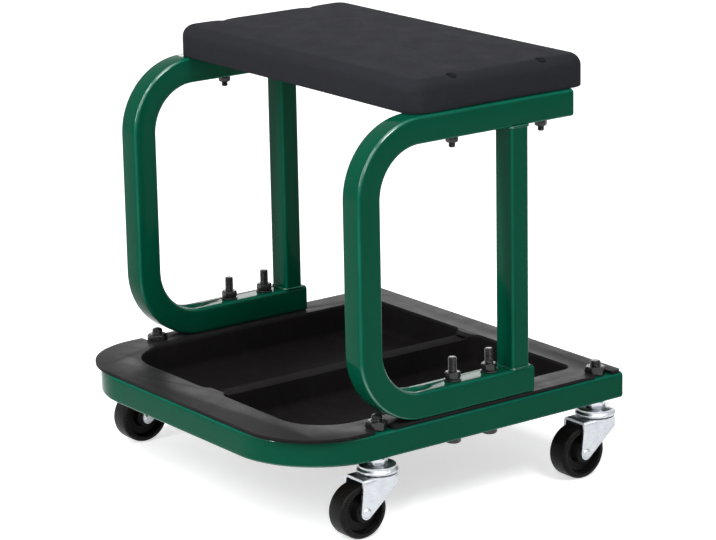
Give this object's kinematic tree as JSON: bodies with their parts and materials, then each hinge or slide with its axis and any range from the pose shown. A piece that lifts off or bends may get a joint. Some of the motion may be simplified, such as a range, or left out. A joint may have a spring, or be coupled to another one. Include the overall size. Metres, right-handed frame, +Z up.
{
  "type": "rolling creeper seat",
  "caption": "Low rolling workshop seat: padded top on bent tube side frames over a wheeled base with a tool tray.",
  "frame": {"origin": "on the floor under the middle of the base", "axes": "+X to the right as seen from the front, +Y from the front to the rear, +Z up; the front is the end with the bent base corners"},
  "size_m": [0.393, 0.375, 0.4065],
  "materials": {
    "green_paint": "glossy green enamel on bent steel tube",
    "black_plastic": "fine-grained moulded plastic, satin",
    "seat_skin": "matt moulded foam with a grained skin",
    "plywood": "plain plywood",
    "black_steel": "black-coated steel fasteners",
    "zinc_steel": "bright zinc-plated pressed steel",
    "ball_steel": "polished ball steel",
    "wheel_plastic": "black moulded wheel, slightly shiny"
  },
  "bodies": {
    "root": {"base_frame": "green_paint", "rear_rail": "green_paint", "side_frame_left": "green_paint", "side_frame_right": "green_paint", "post_left": "green_paint", "post_right": "green_paint", "base_end_plugs": "black_plastic", "side_frame_end_plugs": "black_plastic", "tool_tray": "black_plastic", "seat_board": "plywood", "seat_pad": "seat_skin", "seat_bolts": "black_steel", "seat_bolt_washers": "black_steel", "seat_nuts": "black_steel", "seat_nut_washers": "black_steel", "frame_bolts": "black_steel", "frame_washers": "black_steel", "frame_nuts": "black_steel", "stem_nuts": "black_steel", "caster_stems": "zinc_steel", "caster_race_cups": "zinc_steel"},
    "caster_front_left": {"caster_fork_front_left": "zinc_steel", "caster_balls_front_left": "ball_steel", "caster_axle_front_left": "zinc_steel", "caster_sleeve_front_left": "zinc_steel"},
    "wheel_front_left": {"caster_wheel_front_left": "wheel_plastic"},
    "caster_front_right": {"caster_fork_front_right": "zinc_steel", "caster_balls_front_right": "ball_steel", "caster_axle_front_right": "zinc_steel", "caster_sleeve_front_right": "zinc_steel"},
    "wheel_front_right": {"caster_wheel_front_right": "wheel_plastic"},
    "caster_rear_left": {"caster_fork_rear_left": "zinc_steel", "caster_balls_rear_left": "ball_steel", "caster_axle_rear_left": "zinc_steel", "caster_sleeve_rear_left": "zinc_steel"},
    "wheel_rear_left": {"caster_wheel_rear_left": "wheel_plastic"},
    "caster_rear_right": {"caster_fork_rear_right": "zinc_steel", "caster_balls_rear_right": "ball_steel", "caster_axle_rear_right": "zinc_steel", "caster_sleeve_rear_right": "zinc_steel"},
    "wheel_rear_right": {"caster_wheel_rear_right": "wheel_plastic"}
  },
  "joints": [
    {"name": "front_left_swivel", "type": "hinge", "parent": "root", "child": "caster_front_left", "pos_m": [-0.1775, -0.091, 0.055], "axis": [0, 0, 1], "continuous": true},
    {"name": "front_left_wheel_spin", "type": "hinge", "parent": "caster_front_left", "child": "wheel_front_left", "pos_m": [-0.1775, -0.114, 0.025], "axis": [1, 0, 0], "continuous": true},
    {"name": "front_right_swivel", "type": "hinge", "parent": "root", "child": "caster_front_right", "pos_m": [0.1775, -0.091, 0.055], "axis": [0, 0, 1], "continuous": true},
    {"name": "front_right_wheel_spin", "type": "hinge", "parent": "caster_front_right", "child": "wheel_front_right", "pos_m": [0.1775, -0.114, 0.025], "axis": [1, 0, 0], "continuous": true},
    {"name": "rear_left_swivel", "type": "hinge", "parent": "root", "child": "caster_rear_left", "pos_m": [-0.1775, 0.1645, 0.055], "axis": [0, 0, 1], "continuous": true},
    {"name": "rear_left_wheel_spin", "type": "hinge", "parent": "caster_rear_left", "child": "wheel_rear_left", "pos_m": [-0.1775, 0.1415, 0.025], "axis": [1, 0, 0], "continuous": true},
    {"name": "rear_right_swivel", "type": "hinge", "parent": "root", "child": "caster_rear_right", "pos_m": [0.1775, 0.1645, 0.055], "axis": [0, 0, 1], "continuous": true},
    {"name": "rear_right_wheel_spin", "type": "hinge", "parent": "caster_rear_right", "child": "wheel_rear_right", "pos_m": [0.1775, 0.1415, 0.025], "axis": [1, 0, 0], "continuous": true}
  ]
}
